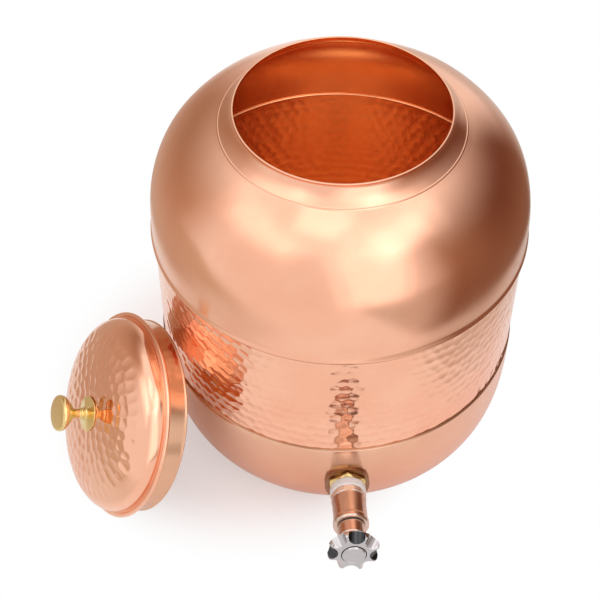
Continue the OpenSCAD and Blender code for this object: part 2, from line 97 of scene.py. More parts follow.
def lid_matrix():
    """The lid's own frame: Z out along its axis, from the plane of its edge."""
    axis = Vector(joint("lid_away")["axis"])
    loose = axis_matrix((0, 0, 0), axis, (0, 0, -1))
    p = local_points("lid_dome", loose)
    middle = (p.min(0) + p.max(0)) / 2
    return loose @ Matrix.Translation((middle[0], middle[1], p[:, 2].min()))


dome_low, dome_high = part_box("shoulder_dome")
band_low, band_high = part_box("hammered_band")
shell_r = dome_high.x
band_r = band_high.x
seam_high = dome_low.z
seam_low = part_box("base_bowl")[1].z
rim_z = dome_high.z
mouth_r = mount("mouth")["dims"]["r_mm"] * MM
lip_h = mount("mouth")["dims"]["length_mm"] * MM
outlet = mount("spout_outlet")
outlet_r = outlet["dims"]["r_mm"] * MM
outlet_len = outlet["dims"]["length_mm"] * MM

POT = Matrix.Identity(4)
TAP = axis_matrix(joint("tap_turn")["pos_m"], joint("tap_turn")["axis"], (1, 0, 0))
LID = lid_matrix()

# Shape of the pot
SHEET = 1.0 * MM
SHELL_TURNS = 384
SHELL_EDGE = 0.35 * MM
DOME_STEPS = 160
COLLAR_STEPS = 40
BOWL_STEPS = 200
SEAM_STRAIGHT = 10.0 * MM
CREASE_R = 86.8 * MM
CREASE_RIDGE = 0.5 * MM
COLLAR_H = 13.3 * MM
COLLAR_BEND = 1.5
DOME_SQUARE = 2.6
BASE_R = 70.0 * MM
BOWL_SQUARE = 2.8
LIP_STRAIGHT = 1.4 * MM
LIP_ROLL = 0.9 * MM
LIP_BULGE = 0.3 * MM
crease_z = rim_z - COLLAR_H
dome_z0 = seam_high + SEAM_STRAIGHT
bowl_z0 = seam_low - SEAM_STRAIGHT
# Bulge and height of the bead along the dome's lower edge, in mm
EDGE_BEAD = [(-0.3, 0), (0.6, 0.3), (1.1, 1.1), (1.2, 2.0), (0.95, 3.0), (0.5, 4.0), (0.15, 5.2), (0, 6.6)]
# Set-back and drop of the rounding along the bowl's upper edge, in mm
EDGE_ROUND = [(0.95, 0), (0.5, 0.15), (0.18, 0.5), (0, 1.1)]
# Heights of the thin dark ring along each seam, and the rounding of its edges
UPPER_DARK_LINE = 1.8 * MM
LOWER_DARK_LINE = 0.9 * MM
DARK_LINE_EDGE = 0.15 * MM
# Hole in the bowl for the tap's seat, from inside to outside along the tap's axis
SEAT_GAP = 0.05 * MM
SEAT_HOLE = (-40 * MM, 20 * MM)

# Waves left in the dome by work by hand
WAVES = 8
WAVE_SEED = 11
WAVE_HEIGHT = 0.07 * MM
WAVE_FADE = 14 * MM
WAVES_AROUND = (2, 12)
WAVES_UPWARD = 110
WAVE_FROM = 7 * MM
WAVE_TO = 2 * MM

# Hammer marks
BAND_MARK = 8.6 * MM
BAND_DEPTH = 0.40 * MM
BAND_JITTER = 0.10
BAND_ROW = 1.15 * MM
BAND_EDGE = 0.25 * MM
BAND_FADE = 4 * MM
BAND_TURNS = 760
INNER_SHARE = 0.5
LID_MARK = 8.8 * MM
LID_DEPTH = 0.62 * MM
LID_JITTER = 0.08
FIRST_RING = 0.9
LAST_RING = 1.1
LID_FADE = 4 * MM
LID_TURNS = 560
BLOW_WEAKEST = 0.65
BLOW_HARDEST = 1.25
BLOW_REACH = 0.62
BLOW_SOFT = 0.12
BLOWS_NEAR = 5

# Shape of the tap
NIPPLE_CLEAR = 10.2 * MM
NUT_ACROSS = 27.0 * MM
NUT_FACE_SHARE = 0.955
NUT_SLOPE = 0.5
NUT_EDGE = 0.12 * MM
NUT_TURNS = 360
WASHER_EDGE = 1.2 * MM
WASHER_BULGE = 0.5 * MM
WASHER_ROUND = 0.3 * MM
COLLAR_ACROSS = 25.6 * MM
COLLAR_LEN = 5.5 * MM
COLLAR_R = 13.3 * MM
COLLAR_EDGE = 0.5 * MM
TUBE_R = 12.7 * MM
FLARE_LEN = 5.5 * MM
FLARE_R = 13.4 * MM
BONNET_BORE = 8.7 * MM
BONNET_BORE_LEN = 3 * MM
BONNET_BORE_TAPER = 16 * MM
TUBE_EDGE = 0.18 * MM
TUBE_TURNS = 240
SPOUT_R = 9.6 * MM
SPOUT_LIP = 0.5 * MM
SPOUT_LIP_SLOPE = (2.2 * MM, 1.6 * MM)
SPOUT_EDGE = 0.2 * MM
# How far above the spout's mouth the hole in the tube's wall ends
WATER_WAY_END = 2 * MM
# Where the spout's wall ends below the tap's axis
SPOUT_ROOT = 8.0 * MM
SPINDLE_CLEAR = 4.0 * MM
BONNET_END_R = 6.4 * MM
BONNET_EDGE = 0.18 * MM
KNOB_GAP = 0.5 * MM
SMALL_TURNS = 128
FINE_TURNS = 160

# Shape of the tap's knob
LOBES = 8
FLUTE_R = 7.0 * MM
FLUTE_DEPTH = 3.2 * MM
KNOB_FACE_R = 11.8 * MM
KNOB_TURN = math.radians(-6.5)
KNOB_BORE = 7.0 * MM
KNOB_RIM_SHARE = 0.6
KNOB_SQUARE = 4
KNOB_STEPS = 30
KNOB_TURNS = 400
KNOB_SAMPLES = 400
CAP_GAP = 0.6 * MM
CAP_LAND = 1.2 * MM
CUP_DEPTH = 2.2 * MM
CAP_EDGE = 0.15 * MM
CAP_SUNK = 0.25 * MM
BACK_CLEAR = 0.4 * MM
RIDGE_SOFT = 0.22 * MM
# Reach of the painted dark reflection in the knob's hollows and of the painted shade in the groove round its cap
PAINTED_DARK_PAST = 0.4 * MM
PAINTED_DARK_NEAR = 0.2 * MM
PAINTED_DARK_RIM = 0.05 * MM

# Shape of the lid
BEAD_R = 1.8 * MM
GROOVE_W = 0.9 * MM
LID_SQUARE = 2.6
LID_EDGE = 0.3 * MM
LID_ROW = 1.1 * MM
LID_STEPS = 400
LID_CLEAR = 2 * MM
SLOPE_STEP = 0.05 * MM
SLOPE_CLEAR = 0.2 * MM
SKIRT_ROLL = 0.9 * MM
SKIRT_EDGE = 0.2 * MM
SKIRT_TURNS = 320
SCREW_HOLE = 2.1 * MM
STEM_R = 3.6 * MM
STEM_RING = 1.2 * MM
STEM_RING_SOFT = 0.2 * MM
LID_KNOB_EDGE = 0.35 * MM
ROSETTE_EDGE = 0.25 * MM
ROSETTE_STEPS = 12
ROSETTE_GAP = 0.02 * MM
lid_r = span("lid_dome", LID)[2]
lid_top = span("lid_dome", LID)[1]
dome_edge_r = lid_r - 2 * BEAD_R - GROOVE_W
dome_edge_z = 1.6 * BEAD_R
lid_rise = lid_top - dome_edge_z
# The lid knob's head: share of its radius, and share of the knob's length
HEAD = [
    (0.42, 0.455), (0.58, 0.545), (0.72, 0.62), (0.83, 0.68), (0.93, 0.75), (0.985, 0.815),
    (1, 0.865), (0.985, 0.92), (0.94, 0.96), (0.84, 0.982), (0.5, 0.995), (0, 1),
]


# Outlines and turned meshes

SMOOTH_HALF = 8
SMOOTH_WIDTH = 2.4
STEPS_PER_EDGE = 3
LEAST_STEPS = 16
MOST_BEND = 3.5
MOST_REACH = 4 * MM
SAME_POINT = 1e-9
WELD = 1e-7
LEAST_NORMAL = 1e-12
HEXAGON_SOFT = 70
HOLE_TURNS = 128
SHARP = math.radians(40)


def smoothed(points, edge, closed):
    """Even points along an outline, with its corners rounded by about edge."""
    p = np.array(points, float)
    if closed:
        p = np.vstack([p, p[:1]])
    lengths = np.hypot(*np.diff(p, axis=0).T)
    p = p[np.r_[True, lengths > SAME_POINT]]
    run = np.r_[0, np.cumsum(np.hypot(*np.diff(p, axis=0).T))]
    count = max(int(run[-1] / (edge / STEPS_PER_EDGE)), LEAST_STEPS)
    at = np.linspace(0, run[-1], count + 1)
    fine = np.stack([np.interp(at, run, p[:, 0]), np.interp(at, run, p[:, 1])], 1)
    half = SMOOTH_HALF
    weights = np.exp(-0.5 * (np.arange(-half, half + 1) / SMOOTH_WIDTH) ** 2)
    weights /= weights.sum()
    if closed:
        fine = fine[:-1]
        padded = np.vstack([fine[-half:], fine, fine[:half]])
    else:
        head = 2 * fine[0] - fine[half:0:-1]
        tail = 2 * fine[-1] - fine[-2:-half - 2:-1]
        padded = np.vstack([head, fine, tail])
    fine = np.stack([np.convolve(padded[:, i], weights, "valid") for i in (0, 1)], 1)
    fine[:, 0] = np.maximum(fine[:, 0], 0)
    return fine


def thinned(fine, closed, reach):
    """The outline with fewer points where it runs straight."""
    kept = [0]
    bent = 0.0
    gone = 0.0
    for i in range(1, len(fine) - 1):
        a = fine[i] - fine[i - 1]
        b = fine[i + 1] - fine[i]
        bent += abs(math.degrees(math.atan2(a[0] * b[1] - a[1] * b[0], a @ b)))
        gone += math.hypot(*a)
        if bent > MOST_BEND or gone > reach:
            kept.append(i)
            bent = 0.0
            gone = 0.0
    if not closed:
        kept.append(len(fine) - 1)
    return fine[kept]


def rounded(points, edge, closed=True, reach=MOST_REACH):
    return thinned(smoothed(points, edge, closed), closed, reach)


def arc(r, z, radius, degrees):
    """Points on a round bead about a middle, at the given angles."""
    a = np.radians(degrees)
    return np.stack([r + radius * np.cos(a), z + radius * np.sin(a)], 1)


def nearest(outline, r, z):
    """Which point of an outline lies nearest to a radius and a height."""
    return np.hypot(*(outline - np.array([r, z])).T).argmin()


def add_piece(name, mesh, place, body, materials, stands_for=()):
    piece = bpy.data.objects.new(name, mesh)
    bpy.context.scene.collection.objects.link(piece)
    piece.matrix_world = place
    for m in materials:
        mesh.materials.append(m)
    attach(piece, body)
    if stands_for:
        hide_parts(*stands_for)
    return piece


def paint_second(mesh, faces):
    """Gives the second material to the faces that a list of flags names."""
    mesh.polygons.foreach_set("material_index", np.asarray(faces).astype(np.int32))


def tidy_mesh(mesh):
    """Welds the points on the axis, points every face outward and smooths the shading."""
    bm = bmesh.new()
    bm.from_mesh(mesh)
    bmesh.ops.remove_doubles(bm, verts=bm.verts, dist=WELD)
    bmesh.ops.recalc_face_normals(bm, faces=bm.faces)
    bm.to_mesh(mesh)
    bm.free()
    mesh.polygons.foreach_set("use_smooth", np.ones(len(mesh.polygons), bool))
    mesh.set_sharp_from_angle(angle=SHARP)
    mesh.update()


def turned_mesh(name, outline, turns, closed=True, shape=None, inside=None):
    """A mesh turned round Z from an outline of radii and heights.

    shape moves the (turns, points, 3) grid of vertices. inside says which outline
    segments take the second material."""
    rows = len(outline)
    angle = np.linspace(0, 2 * np.pi, turns, endpoint=False)
    r, z = outline[:, 0], outline[:, 1]
    grid = np.stack([
        np.cos(angle)[:, None] * r[None],
        np.sin(angle)[:, None] * r[None],
        np.broadcast_to(z[None], (turns, rows)),
    ], 2)
    if shape is not None:
        grid = shape(grid, angle)
    links = rows if closed else rows - 1
    k, j = np.meshgrid(np.arange(turns), np.arange(links), indexing="ij")
    k1, j1 = (k + 1) % turns, (j + 1) % rows
    faces = np.stack([k * rows + j, k1 * rows + j, k1 * rows + j1, k * rows + j1], 2).reshape(-1, 4)
    mesh = bpy.data.meshes.new(name)
    mesh.from_pydata(grid.reshape(-1, 3).tolist(), [], faces.tolist())
    steps = np.hypot(*np.diff(np.vstack([outline, outline[:1]]), axis=0).T)
    run = np.r_[0, np.cumsum(steps)]
    u0, u1 = k / turns, (k + 1) / turns
    v0, v1 = run[j], run[j + 1]
    corners = [(u0, v0), (u1, v0), (u1, v1), (u0, v1)]
    uv = np.stack([np.stack(corner, 2) for corner in corners], 2)
    layer = mesh.uv_layers.new(name="around_along")
    layer.data.foreach_set("uv", uv.reshape(-1).astype(np.float32))
    if inside is not None:
        paint_second(mesh, np.broadcast_to(np.asarray(inside)[:links][None], (turns, links)).reshape(-1))
    tidy_mesh(mesh)
    return mesh


def turned(name, points, edge, place, body, material, stands_for=(), turns=96, closed=True, shape=None):
    mesh = turned_mesh(name, rounded(points, edge, closed), turns, closed, shape)
    return add_piece(name, mesh, place, body, [material], stands_for)


def hexagon_cut(across, turn=0):
    """A shape that cuts a turned piece to a hexagon: a corner along local Y, or a flat with turn 30."""
    def cut(grid, angle):
        flats = np.radians(np.arange(0, 360, 60) + turn)
        facing = np.maximum(np.cos(angle[:, None] - flats[None]), 0)
        limit = across / 2 / (facing ** HEXAGON_SOFT).sum(1) ** (1 / HEXAGON_SOFT)
        r = np.hypot(grid[..., 0], grid[..., 1])
        share = np.minimum(1, limit[:, None] / np.maximum(r, SAME_POINT))
        grid = grid.copy()
        grid[..., :2] *= share[..., None]
        return grid
    return cut


def cut_round_hole(mesh, place, r, low, high):
    """The mesh with a round hole along a local axis, ready to take its materials anew."""
    tool = bpy.data.meshes.new("hole")
    bm = bmesh.new()
    bmesh.ops.create_cone(bm, cap_ends=True, segments=HOLE_TURNS, radius1=r, radius2=r, depth=high - low)
    bmesh.ops.translate(bm, verts=bm.verts, vec=(0, 0, (low + high) / 2))
    bm.to_mesh(tool)
    bm.free()
    tool.transform(place)
    body = bpy.data.objects.new("cut_body", mesh)
    cutter = bpy.data.objects.new("cut_tool", tool)
    for o in (body, cutter):
        bpy.context.scene.collection.objects.link(o)
    cut = body.modifiers.new("hole", "BOOLEAN")
    cut.operation = "DIFFERENCE"
    cut.solver = "EXACT"
    cut.object = cutter
    done = bpy.data.meshes.new_from_object(body.evaluated_get(bpy.context.evaluated_depsgraph_get()))
    bpy.data.objects.remove(body)
    bpy.data.objects.remove(cutter)
    done.materials.clear()
    done.set_sharp_from_angle(angle=SHARP)
    return done


# Hammer marks

class HammerMarks:
    """Overlapping round dents at given centres. depth() says how far a point is struck in."""

    def __init__(self, centres, pitch, deepest):
        self.tree = KDTree(len(centres))
        for i, c in enumerate(centres):
            self.tree.insert(c, i)
        self.tree.balance()
        self.blow = rng.uniform(BLOW_WEAKEST, BLOW_HARDEST, len(centres))
        self.reach = BLOW_REACH * pitch
        self.deepest = deepest

    def depth(self, points):
        flat = points.reshape(-1, 3)
        out = np.empty(len(flat))
        for n, p in enumerate(flat):
            total = 0.0
            for _, i, d in self.tree.find_n(p, BLOWS_NEAR):
                total += math.exp((self.blow[i] - (d / self.reach) ** 2) / BLOW_SOFT)
            out[n] = BLOW_SOFT * math.log(1 + total)
        return self.deepest * out.reshape(points.shape[:-1])


def band_marks():
    rows = int(round((band_high.z - band_low.z) / BAND_MARK))
    columns = int(round(2 * math.pi * band_r / BAND_MARK))
    centres = []
    for row in range(rows + 1):
        z = band_low.z + (band_high.z - band_low.z) * row / rows
        for column in range(columns):
            a = 2 * math.pi * (column + 0.5 * (row % 2)) / columns
            a += rng.normal(0, BAND_JITTER) * BAND_MARK / band_r
            h = z + rng.normal(0, BAND_JITTER) * BAND_MARK
            centres.append((band_r * math.cos(a), band_r * math.sin(a), h))
    return HammerMarks(centres, BAND_MARK, BAND_DEPTH)


def lid_cap(r, depth=0.0):
    """Height of the lid's dome at a radius, or of a skin that lies deeper."""
    edge = dome_edge_r - depth
    rise = lid_rise - depth
    share = np.clip(r / edge, 0, 1)
    return dome_edge_z + rise * (1 - share ** LID_SQUARE) ** (1 / LID_SQUARE)


def lid_marks():
    centres = []
    first = FIRST_RING * LID_MARK
    rings = int((dome_edge_r - LAST_RING * LID_MARK - first) / LID_MARK)
    for ring in range(rings + 1):
        r = first + ring * LID_MARK
        count = int(round(2 * math.pi * r / LID_MARK))
        shift = rng.uniform(0, 1)
        for i in range(count):
            a = 2 * math.pi * (i + shift) / count + rng.normal(0, LID_JITTER) * LID_MARK / r
            s = r + rng.normal(0, LID_JITTER) * LID_MARK
            centres.append((s * math.cos(a), s * math.sin(a), float(lid_cap(s))))
    return HammerMarks(centres, LID_MARK, LID_DEPTH)


# Materials

class Nodes:
    """A material's node tree, with its nodes made and linked in one call each."""

    def __init__(self, name):
        self.material = bpy.data.materials.new(name)
        self.material.use_nodes = True
        self.tree = self.material.node_tree
        self.tree.nodes.clear()

    def add(self, kind, inputs=None, **settings):
        node = self.tree.nodes.new("ShaderNode" + kind)
        for key, value in settings.items():
            setattr(node, key, value)
        for key, value in (inputs or {}).items():
            if isinstance(value, bpy.types.NodeSocket):
                self.tree.links.new(value, node.inputs[key])
            else:
                node.inputs[key].default_value = value
        return node

    def math(self, operation, a, b=0.0, clamp=False):
        return self.add("Math", {0: a, 1: b}, operation=operation, use_clamp=clamp).outputs[0]

    def ramp(self, value, low, high, to_low=0.0, to_high=1.0):
        return self.add("MapRange", {
            "Value": value, "From Min": low, "From Max": high, "To Min": to_low, "To Max": to_high,
        }, interpolation_type="SMOOTHSTEP").outputs["Result"]

    def mix(self, factor, a, b):
        return self.add("MixRGB", {"Fac": factor, "Color1": a, "Color2": b}).outputs["Color"]

    def noise(self, vector, scale, detail=3.0, rough=0.55):
        return self.add("TexNoise", {
            "Vector": vector, "Scale": scale, "Detail": detail, "Roughness": rough,
        }).outputs["Fac"]

    def output(self, shader):
        self.add("OutputMaterial", {"Surface": shader})
        return self.material


def rgb(r, g, b):
    return (r, g, b, 1.0)


# Scales of the patterns, in waves per metre
TONE_SCALE = 14.0
MARK_SCALE = 60.0
CAST_SCALE = 900.0
LATHE_ALONG = 1500.0
CLOUD_SCALE = 120.0
MOULD_SCALE = 2600.0
# Reach of the lathe's pattern round a piece's axis
LATHE_AROUND = 3.0
# Where a pattern's noise begins and ends to show
EVEN = (0.3, 0.7)
RARE = (0.52, 0.72)
EDGES = (0.52, 0.60)
WORN_SHARE = 0.25
EDGE_SHARE = 0.5
MARK_ROUGH = 0.04
MOULD_ROUGH = 0.05
METAL_RELIEF = 0.2 * MM
PLASTIC_RELIEF = 0.1 * MM


def lathe_vector(n):
    """Coordinates that run slowly round a turned piece's axis and fast along its outline."""
    coords = n.add("TexCoord")
    flat = n.add("VectorMath", {0: coords.outputs["Object"], 1: (1, 1, 0)}, operation="MULTIPLY").outputs[0]
    unit = n.add("VectorMath", {0: flat}, operation="NORMALIZE").outputs[0]
    ring = n.add("VectorMath", {0: unit, "Scale": LATHE_AROUND}, operation="SCALE").outputs[0]
    v = n.add("SeparateXYZ", {0: coords.outputs["UV"]}).outputs["Y"]
    lift = n.add("CombineXYZ", {"Z": n.math("MULTIPLY", v, LATHE_ALONG)}).outputs[0]
    return n.add("VectorMath", {0: ring, 1: lift}, operation="ADD").outputs[0]


def metal(name, light, dark, roughness, grain, anisotropy=0.0, on_lathe=True, bump=0.04):
    """A bare or plated metal with tone patches, handling marks, brighter edges and a lathe's grain."""
    n = Nodes(name)
    place = n.add("TexCoord").outputs["Object"]
    tone = n.ramp(n.noise(place, TONE_SCALE, detail=4.0), *EVEN)
    marks = n.ramp(n.noise(place, MARK_SCALE, detail=5.0, rough=0.65), *RARE)
    if on_lathe:
        lines = n.noise(lathe_vector(n), 1.0, detail=4.0, rough=0.7)
    else:
        lines = n.noise(place, CAST_SCALE, rough=0.6)
    edge = n.ramp(n.add("NewGeometry").outputs["Pointiness"], *EDGES)
    base = n.mix(tone, dark, light)
    worn = n.mix(n.math("MULTIPLY", marks, WORN_SHARE), base, dark)
    bright = n.mix(n.math("MULTIPLY", edge, EDGE_SHARE), worn, light)
    total = n.math("ADD", n.math("MULTIPLY", lines, grain), roughness - grain / 2)
    total = n.math("ADD", total, n.math("MULTIPLY", marks, MARK_ROUGH))
    relief = n.add("Bump", {"Strength": bump, "Distance": METAL_RELIEF, "Height": lines}).outputs[0]
    shader = n.add("BsdfPrincipled", {
        "Base Color": bright, "Metallic": 1.0, "Roughness": total, "Normal": relief,
        "Anisotropic": anisotropy, "Anisotropic Rotation": 0.25,
    })
    if anisotropy:
        tangent = n.add("Tangent", direction_type="RADIAL", axis="Z").outputs[0]
        n.tree.links.new(tangent, shader.inputs["Tangent"])
    return n.output(shader.outputs[0])


def plastic(name, light, dark, roughness, see_in):
    """A moulded plastic or rubber with a cloudy tone and a fine grain."""
    n = Nodes(name)
    place = n.add("TexCoord").outputs["Object"]
    cloud = n.ramp(n.noise(place, CLOUD_SCALE), *EVEN)
    grain = n.noise(place, MOULD_SCALE, detail=2.0)
    relief = n.add("Bump", {"Strength": 0.06, "Distance": PLASTIC_RELIEF, "Height": grain}).outputs[0]
    shader = n.add("BsdfPrincipled", {
        "Base Color": n.mix(cloud, dark, light),
        "Roughness": n.ramp(grain, *EVEN, roughness - MOULD_ROUGH, roughness + MOULD_ROUGH),
        "Normal": relief, "Subsurface Weight": see_in, "Subsurface Scale": 3 * MM,
        "Subsurface Radius": (1.0, 0.8, 0.7),
    })
    return n.output(shader.outputs[0])


COPPER = rgb(0.94, 0.52, 0.355), rgb(0.90, 0.455, 0.30)
BOWL_COPPER = rgb(0.83, 0.495, 0.34), rgb(0.79, 0.435, 0.29)
# Darker copper for the lid's skirt: painted shade
SKIRT_SHADE_COPPER = rgb(0.77, 0.45, 0.29), rgb(0.71, 0.39, 0.25)
INSIDE_COPPER = rgb(0.96, 0.53, 0.29), rgb(0.94, 0.49, 0.25)
UNDER_COPPER = rgb(0.98, 0.68, 0.36), rgb(0.92, 0.58, 0.28)
# Pale plate for the tap's collar: a painted highlight over the collar's copper plate
COLLAR_HIGHLIGHT_PLATE = rgb(0.96, 0.89, 0.84), rgb(0.86, 0.76, 0.69)
COPPER_PLATE = rgb(0.72, 0.55, 0.465), rgb(0.58, 0.415, 0.335)
# Dark copper for the tap's seat: painted shade round the nut
SEAT_SHADE_COPPER = rgb(0.36, 0.19, 0.115), rgb(0.24, 0.12, 0.07)
# Dark copper for the thin ring along each seam
SEAM_LINE_DARK = rgb(0.50, 0.27, 0.17), rgb(0.34, 0.17, 0.10)
CUT_BRASS = rgb(0.80, 0.60, 0.28), rgb(0.66, 0.47, 0.20)
TURNED_BRASS = rgb(0.90, 0.70, 0.34), rgb(0.78, 0.56, 0.24)
CHROME = rgb(0.58, 0.54, 0.545), rgb(0.48, 0.445, 0.45)
# Near-black chrome: painted dark reflection in the knob's hollows and painted shade in its cap's groove
PAINTED_DARK_REFLECTION = rgb(0.075, 0.075, 0.08), rgb(0.05, 0.05, 0.054)
STEEL = rgb(0.58, 0.58, 0.60), rgb(0.46, 0.46, 0.48)
WHITE_PLASTIC = rgb(0.71, 0.67, 0.66), rgb(0.63, 0.585, 0.575)
RUBBER = rgb(0.035, 0.035, 0.037), rgb(0.022, 0.022, 0.024)

satin_copper = metal("satin_copper", *COPPER, roughness=0.19, grain=0.08, anisotropy=0.6)
hammered_copper = metal("hammered_copper", *COPPER, roughness=0.12, grain=0.05, bump=0.01)
polished_copper = metal("polished_copper", *BOWL_COPPER, roughness=0.20, grain=0.08, anisotropy=0.4)
skirt_painted_shade = metal("skirt_painted_shade", *SKIRT_SHADE_COPPER, roughness=0.18, grain=0.08, anisotropy=0.5)
inside_copper = metal("inside_copper", *INSIDE_COPPER, roughness=0.22, grain=0.08, anisotropy=0.3)
under_copper = metal("under_copper", *UNDER_COPPER, roughness=0.24, grain=0.08, anisotropy=0.3)
collar_painted_highlight = metal("collar_painted_highlight", *COLLAR_HIGHLIGHT_PLATE, roughness=0.42, grain=0.10, on_lathe=False)
plated_copper = metal("plated_copper", *COPPER_PLATE, roughness=0.22, grain=0.10, anisotropy=0.4)
seat_painted_shade = metal("seat_painted_shade", *SEAT_SHADE_COPPER, roughness=0.30, grain=0.08, on_lathe=False)
dark_seam_copper = metal("dark_seam_copper", *SEAM_LINE_DARK, roughness=0.34, grain=0.10)
cut_brass = metal("cut_brass", *CUT_BRASS, roughness=0.20, grain=0.10, on_lathe=False)
turned_brass = metal("turned_brass", *TURNED_BRASS, roughness=0.13, grain=0.08, anisotropy=0.3)
chrome_plate = metal("chrome_plate", *CHROME, roughness=0.07, grain=0.03, bump=0.01)
painted_reflection_chrome = metal("painted_reflection_chrome", *PAINTED_DARK_REFLECTION, roughness=0.12, grain=0.04, bump=0.01)
satin_chrome = metal("satin_chrome", *CHROME, roughness=0.22, grain=0.10, anisotropy=0.4)
plain_steel = metal("plain_steel", *STEEL, roughness=0.30, grain=0.10, on_lathe=False)
white_plastic = plastic("white_plastic", *WHITE_PLASTIC, roughness=0.32, see_in=0.25)
black_rubber = plastic("black_rubber", *RUBBER, roughness=0.55, see_in=0.0)


# Pot

def squared(r0, z0, r1, z1, n, t):
    """Points on a squared-off curve from an upright start to a level end."""
    return np.stack([r1 + (r0 - r1) * np.cos(t) ** (2 / n), z0 + (z1 - z0) * np.sin(t) ** (2 / n)], 1)


def dome_curve(r, end_r, end_z):
    turn = math.acos((end_r / r) ** (DOME_SQUARE / 2))
    rise = (end_z - dome_z0) / math.sin(turn) ** (2 / DOME_SQUARE)
    return squared(r, dome_z0, 0, dome_z0 + rise, DOME_SQUARE, np.linspace(0, turn, DOME_STEPS))


def collar_curve(r0, z0, r1, z1):
    s = np.linspace(0, 1, COLLAR_STEPS)[1:]
    return np.stack([r1 + (r0 - r1) * (1 - s) ** COLLAR_BEND, z0 + (z1 - z0) * s], 1)


def bowl_curve(r, floor):
    return squared(r, bowl_z0, BASE_R, floor, BOWL_SQUARE, np.linspace(0, np.pi / 2, BOWL_STEPS))


def uneven_skin(outline, outer, low, high):
    """A shape that leaves the outer skin slightly wavy between two heights."""
    tangent = np.roll(outline, -1, 0) - np.roll(outline, 1, 0)
    normal = np.stack([tangent[:, 1], -tangent[:, 0]], 1)
    normal /= np.maximum(np.hypot(*normal.T), LEAST_NORMAL)[:, None]
    inset = np.minimum(outline[:, 1] - low, high - outline[:, 1]) / WAVE_FADE
    fade = np.clip(inset, 0, 1) * outer
    pick = np.random.default_rng(WAVE_SEED)
    around = pick.integers(*WAVES_AROUND, WAVES)
    upward = pick.uniform(-WAVES_UPWARD, WAVES_UPWARD, WAVES)
    phase = pick.uniform(0, 2 * np.pi, WAVES)

    def shape(grid, angle):
        height = np.zeros(grid.shape[:2])
        for m, n, p in zip(around, upward, phase):
            height += np.cos(m * angle[:, None] + n * outline[None, :, 1] + p)
        move = WAVE_HEIGHT * height * fade[None]
        out = grid.copy()
        out[..., 0] += move * normal[None, :, 0] * np.cos(angle)[:, None]
        out[..., 1] += move * normal[None, :, 0] * np.sin(angle)[:, None]
        out[..., 2] += move * normal[None, :, 1]
        return out

    return shape


def make_dome():
    lip_z = rim_z - lip_h
    lip_r = mouth_r + SHEET
    inner_crease = (CREASE_R - SHEET / 2, crease_z - SHEET)
    outer = np.vstack([
        [(shell_r + r * MM, seam_high + h * MM) for r, h in EDGE_BEAD],
        dome_curve(shell_r, CREASE_R, crease_z)[:-1],
        [(CREASE_R + 0.3 * CREASE_RIDGE, crease_z + CREASE_RIDGE)],
        collar_curve(CREASE_R, crease_z, lip_r, lip_z),
        [(lip_r, rim_z - LIP_STRAIGHT), (lip_r + LIP_BULGE, rim_z - LIP_ROLL), (lip_r + LIP_BULGE, rim_z)],
    ])
    inner = np.vstack([
        [(mouth_r, rim_z)],
        collar_curve(*inner_crease, mouth_r, lip_z)[::-1],
        dome_curve(shell_r - SHEET, *inner_crease)[::-1],
        [(shell_r - SHEET, seam_high)],
    ])
    outline = rounded(np.vstack([outer, inner]), SHELL_EDGE)
    split = nearest(outline, mouth_r + SHEET / 2, rim_z)
    order = np.arange(len(outline))
    wavy = uneven_skin(outline, order < split, seam_high + WAVE_FROM, crease_z - WAVE_TO)
    mesh = turned_mesh("shoulder_dome_shell", outline, SHELL_TURNS, shape=wavy, inside=order > split)
    add_piece("shoulder_dome_shell", mesh, POT, "pot",
              [satin_copper, inside_copper], ["shoulder_dome"])


def make_band():
    rows = int((band_high.z - band_low.z) / BAND_ROW)
    edge = BAND_EDGE
    z = np.linspace(band_low.z + edge, band_high.z - edge, rows)
    outer = np.stack([np.full(rows, band_r), z], 1)
    inner = np.stack([np.full(rows, band_r - SHEET), z[::-1]], 1)
    cap = np.array([(band_r - edge, band_high.z), (band_r - SHEET + edge, band_high.z)])
    foot = np.array([(band_r - SHEET + edge, band_low.z), (band_r - edge, band_low.z)])
    outline = np.vstack([outer, cap, inner, foot])
    marks = band_marks()

    def strike(grid, _):
        near_seam = np.minimum(z - band_low.z, band_high.z - z) / BAND_FADE
        depth = marks.depth(grid[:, :rows]) * np.clip(near_seam, 0, 1)[None]
        inner_depth = INNER_SHARE * depth
        full = np.concatenate([
            depth, depth[:, -1:], inner_depth[:, -1:],
            inner_depth[:, ::-1], inner_depth[:, :1], depth[:, :1],
        ], 1)
        grid = grid.copy()
        r = np.hypot(grid[..., 0], grid[..., 1])
        grid[..., :2] *= ((r - full) / r)[..., None]
        return grid

    inside = np.zeros(len(outline), int)
    inside[rows + 1:2 * rows + 2] = 1
    mesh = turned_mesh("hammered_band_shell", outline, BAND_TURNS, shape=strike, inside=inside)
    add_piece("hammered_band_shell", mesh, POT, "pot",
              [hammered_copper, inside_copper], ["hammered_band"])


def make_bowl():
    points = np.vstack([
        [(shell_r - r * MM, seam_low - h * MM) for r, h in EDGE_ROUND],
        bowl_curve(shell_r, 0),
        [(0, 0), (0, SHEET)],
        bowl_curve(shell_r - SHEET, SHEET)[::-1],
        [(shell_r - SHEET, seam_low)],
    ])
    mesh = turned_mesh("base_bowl_uncut", rounded(points, SHELL_EDGE), SHELL_TURNS)
    mesh = cut_round_hole(mesh, TAP, span("tap_seat", TAP)[2] + SEAT_GAP, *SEAT_HOLE)
    mesh.name = "base_bowl_shell"
    middle = Vector((0, 0, bowl_z0))
    add_piece("base_bowl_shell", mesh, POT, "pot",
              [polished_copper, inside_copper], ["base_bowl"])
    paint_second(mesh, [f.normal.dot(f.center - middle) < 0 for f in mesh.polygons])


